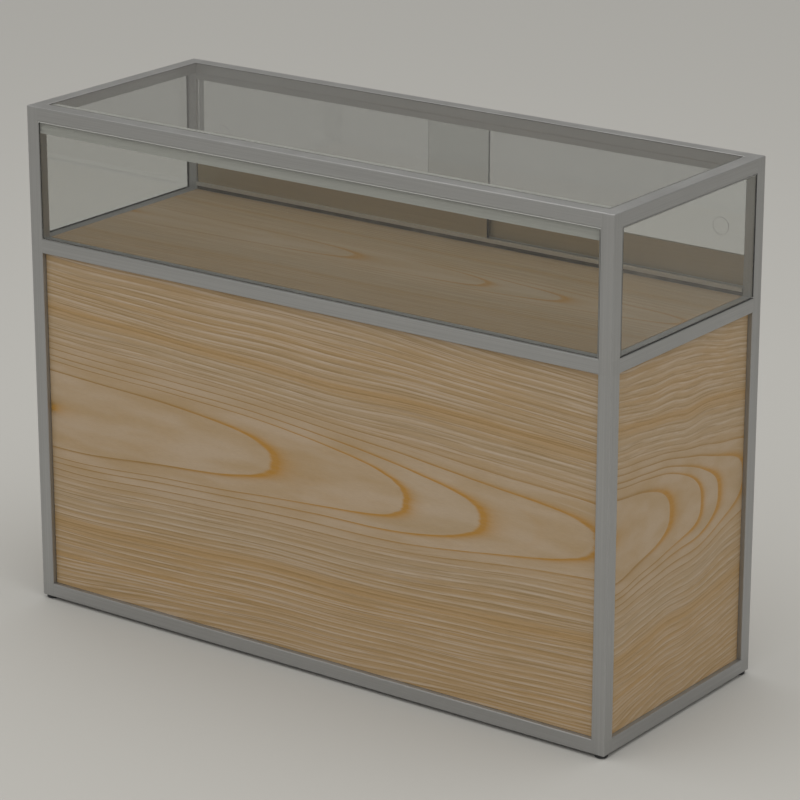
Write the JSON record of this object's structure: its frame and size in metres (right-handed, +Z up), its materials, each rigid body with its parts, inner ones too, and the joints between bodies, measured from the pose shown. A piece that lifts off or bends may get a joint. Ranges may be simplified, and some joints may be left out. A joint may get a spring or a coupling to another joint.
{
  "type": "display case",
  "caption": "Free-standing rectangular counter case: a low lit glass show space with rear sliding glass doors, over a closed panelled storage cabinet in a square-tube frame.",
  "frame": {"origin": "on the floor under the middle of the case, at the underside of the glides", "axes": "+X along the case's width towards its right end seen from the customer's side, +Y towards the sliding doors at the rear, +Z up; the customer's side faces -Y"},
  "size_m": [1.2, 0.45, 0.906],
  "materials": {
    "satin_aluminium": "satin anodised",
    "clear_glass": "polished, greenish at the edges",
    "dark_seal": "matt, nearly black",
    "grey_seal": "matt pale grey",
    "bronze_aluminium": "satin, light bronze anodised",
    "wood_laminate": "beige wood-grain laminate, satin",
    "plain_wood": "planed, bare",
    "dark_plastic": "moulded, fine texture",
    "pale_nylon": "moulded, smooth",
    "opal_plastic": "opal, satin",
    "circuit_board": "white solder mask",
    "zinc_steel": "bright zinc plated"
  },
  "bodies": {
    "case": {"lower_post_front_left": "satin_aluminium", "upper_post_front_left": "satin_aluminium", "lower_post_front_right": "satin_aluminium", "upper_post_front_right": "satin_aluminium", "lower_post_rear_left": "satin_aluminium", "upper_post_rear_left": "satin_aluminium", "lower_post_rear_right": "satin_aluminium", "upper_post_rear_right": "satin_aluminium", "base_rail_front": "satin_aluminium", "base_rail_rear": "satin_aluminium", "base_rail_left": "satin_aluminium", "base_rail_right": "satin_aluminium", "mid_rail_front": "satin_aluminium", "mid_rail_rear": "satin_aluminium", "mid_rail_left": "satin_aluminium", "mid_rail_right": "satin_aluminium", "top_rail_front": "satin_aluminium", "top_rail_rear": "satin_aluminium", "top_rail_left": "satin_aluminium", "top_rail_right": "satin_aluminium", "bottom_connectors": "satin_aluminium", "mid_connectors": "satin_aluminium", "top_connectors": "satin_aluminium", "glass_door_track_lower": "satin_aluminium", "glass_door_track_upper": "satin_aluminium", "storage_track_lower": "satin_aluminium", "storage_track_upper": "satin_aluminium", "lamp_housing": "satin_aluminium", "lamp_end_caps": "satin_aluminium", "front_glass": "clear_glass", "left_glass": "clear_glass", "right_glass": "clear_glass", "top_glass": "clear_glass", "front_glass_seal": "grey_seal", "left_glass_seal": "dark_seal", "right_glass_seal": "dark_seal", "top_glass_seal": "grey_seal", "deck_board": "wood_laminate", "base_board": "wood_laminate", "storage_shelf": "wood_laminate", "front_panel": "wood_laminate", "left_panel": "wood_laminate", "right_panel": "wood_laminate", "board_cleats": "plain_wood", "feet": "dark_plastic", "lamp_diffuser": "opal_plastic", "diode_strip": "circuit_board", "shelf_pins": "zinc_steel", "angle_brackets": "zinc_steel", "bracket_screws": "zinc_steel"},
    "glass_door_left_slider": {"glass_door_left": "clear_glass", "glass_door_left_channel": "bronze_aluminium", "glass_door_left_glides": "pale_nylon"},
    "glass_door_right_slider": {"glass_door_right": "clear_glass", "glass_door_right_channel": "bronze_aluminium", "glass_door_right_glides": "pale_nylon"},
    "storage_door_left_slider": {"storage_door_left": "wood_laminate", "storage_door_left_grommet": "dark_plastic"},
    "storage_door_right_slider": {"storage_door_right": "wood_laminate", "storage_door_right_grommet": "dark_plastic"}
  },
  "joints": [
    {"name": "glass_door_left_slide", "type": "slide", "parent": "case", "child": "glass_door_left_slider", "axis": [1, 0, 0], "range_m": [0, 0.507]},
    {"name": "glass_door_right_slide", "type": "slide", "parent": "case", "child": "glass_door_right_slider", "axis": [1, 0, 0], "range_m": [-0.507, 0]},
    {"name": "storage_door_left_slide", "type": "slide", "parent": "case", "child": "storage_door_left_slider", "axis": [1, 0, 0], "range_m": [0, 0.544]},
    {"name": "storage_door_right_slide", "type": "slide", "parent": "case", "child": "storage_door_right_slider", "axis": [1, 0, 0], "range_m": [-0.544, 0]}
  ]
}
